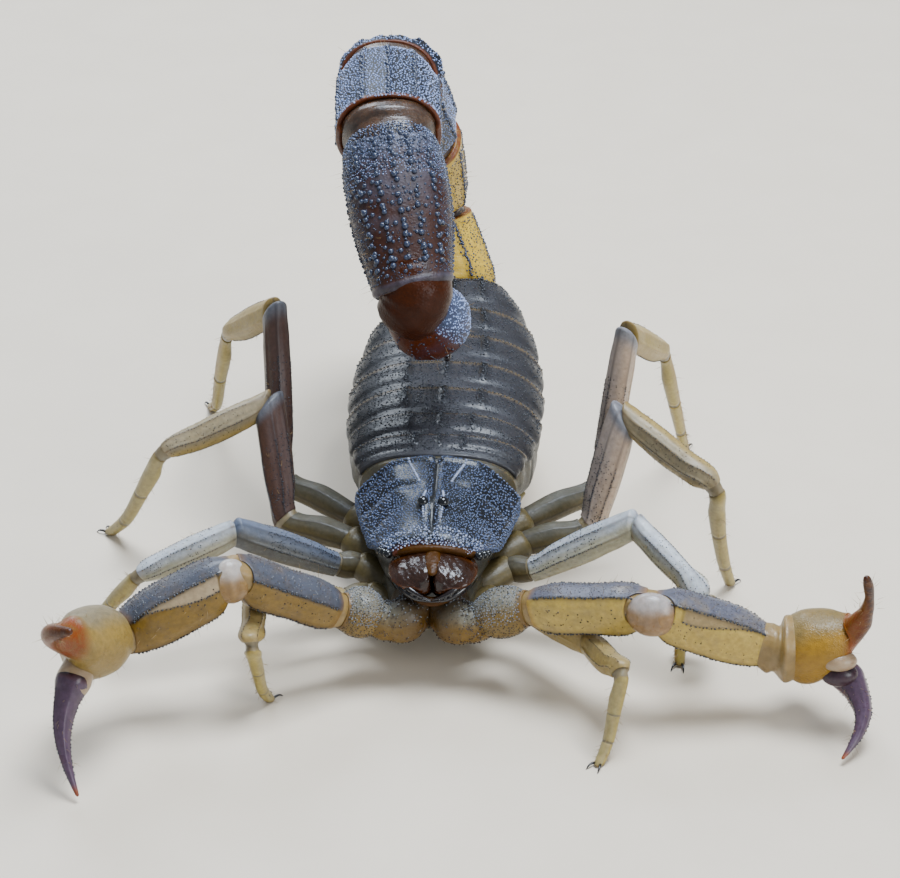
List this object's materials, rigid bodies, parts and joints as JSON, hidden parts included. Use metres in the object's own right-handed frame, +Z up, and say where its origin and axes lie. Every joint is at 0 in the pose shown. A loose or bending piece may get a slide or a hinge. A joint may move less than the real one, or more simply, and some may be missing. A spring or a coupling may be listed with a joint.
{
  "type": "scorpion model",
  "caption": "Life-size thick-tailed scorpion standing on its legs with its claws open in front and its tail arched forward over its back.",
  "frame": {"origin": "middle of the bounding box on the floor under the body", "axes": "the head looks along -Y, +X is the animal's own left side, +Z is up"},
  "size_m": [0.0556, 0.0626, 0.0336],
  "materials": {
    "dark_shell": "blue-grey to black granular shell with paler rear edges",
    "olive_shell": "amber-olive horny shell with rows of dark grains",
    "leg_shell": "olive-beige horny shell with a blue-grey upper edge",
    "tail_shell": "blue-grey granular shell with red-brown rims",
    "tail_end_shell": "dark chocolate shell with coarse blue-black grains",
    "jaw_shell": "glossy mahogany shell",
    "belly_shell": "pale olive smooth shell",
    "eye_lens": "glossy black lens",
    "finger_shell": "violet-grey to red-brown satin shell",
    "sting_shell": "glossy near-black point"
  },
  "bodies": {
    "root": {"arm_left_femur": "olive_shell", "arm_left_finger": "finger_shell", "arm_left_hand": "olive_shell", "arm_left_patella": "olive_shell", "arm_left_trochanter": "olive_shell", "arm_right_femur": "olive_shell", "arm_right_finger": "finger_shell", "arm_right_hand": "olive_shell", "arm_right_patella": "olive_shell", "arm_right_trochanter": "olive_shell", "belly_plate": "belly_shell", "body_ring_1": "dark_shell", "body_ring_2": "dark_shell", "body_ring_3": "dark_shell", "body_ring_4": "dark_shell", "body_ring_5": "dark_shell", "body_ring_6": "dark_shell", "body_ring_7": "dark_shell", "chest": "belly_shell", "comb_left": "belly_shell", "comb_right": "belly_shell", "head_shield": "dark_shell", "jaw_left": "jaw_shell", "jaw_right": "jaw_shell", "leg_1_left_femur": "leg_shell", "leg_1_left_foot": "leg_shell", "leg_1_left_patella": "leg_shell", "leg_1_right_femur": "leg_shell", "leg_1_right_foot": "leg_shell", "leg_1_right_patella": "leg_shell", "leg_2_left_femur": "leg_shell", "leg_2_left_foot": "leg_shell", "leg_2_left_patella": "leg_shell", "leg_2_right_femur": "leg_shell", "leg_2_right_foot": "leg_shell", "leg_2_right_patella": "leg_shell", "leg_3_left_femur": "leg_shell", "leg_3_left_foot": "leg_shell", "leg_3_left_patella": "leg_shell", "leg_3_right_femur": "leg_shell", "leg_3_right_foot": "leg_shell", "leg_3_right_patella": "leg_shell", "leg_4_left_femur": "leg_shell", "leg_4_left_foot": "leg_shell", "leg_4_left_patella": "leg_shell", "leg_4_right_femur": "leg_shell", "leg_4_right_foot": "leg_shell", "leg_4_right_patella": "leg_shell", "main_eye_left": "eye_lens", "main_eye_right": "eye_lens", "side_eyes_left": "eye_lens", "side_eyes_right": "eye_lens", "sting_bulb": "tail_end_shell", "sting_point": "sting_shell", "tail_ring_1": "tail_shell", "tail_ring_2": "tail_shell", "tail_ring_3": "tail_shell", "tail_ring_4": "tail_shell", "tail_ring_5": "tail_end_shell"}
  },
  "joints": []
}
